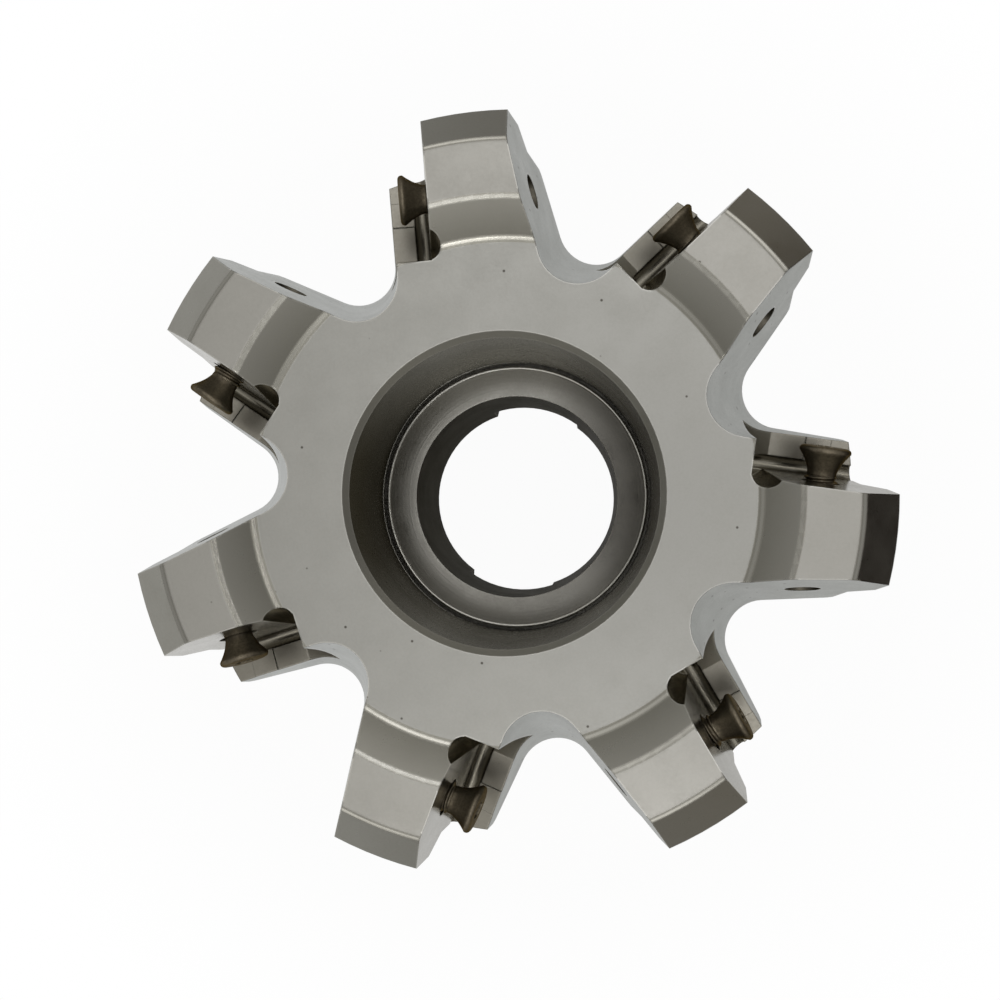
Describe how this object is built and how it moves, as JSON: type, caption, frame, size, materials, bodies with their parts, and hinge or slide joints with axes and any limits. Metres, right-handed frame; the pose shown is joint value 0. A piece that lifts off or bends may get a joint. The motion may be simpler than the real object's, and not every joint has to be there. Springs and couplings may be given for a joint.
{
  "type": "indexable face mill",
  "caption": "Shell-type face mill body with open insert pockets, round-bottomed chip gullets and loose insert screws, bored and slotted for an arbor.",
  "frame": {"origin": "centre of the bore in the back face that rests on the arbor", "axes": "+Z along the bore towards the workpiece, +Y along the first arm; the arms follow clockwise as seen from +Z"},
  "size_m": [0.0882, 0.0866, 0.049],
  "materials": {
    "body_steel": "satin, turned and milled, plated",
    "screw_steel": "dark brown oxide, worn on the head's edge"
  },
  "bodies": {
    "root": {"cutter_body": "body_steel", "insert_screw_1": "screw_steel", "insert_screw_2": "screw_steel", "insert_screw_3": "screw_steel", "insert_screw_4": "screw_steel", "insert_screw_5": "screw_steel", "insert_screw_6": "screw_steel", "insert_screw_7": "screw_steel"}
  },
  "joints": []
}
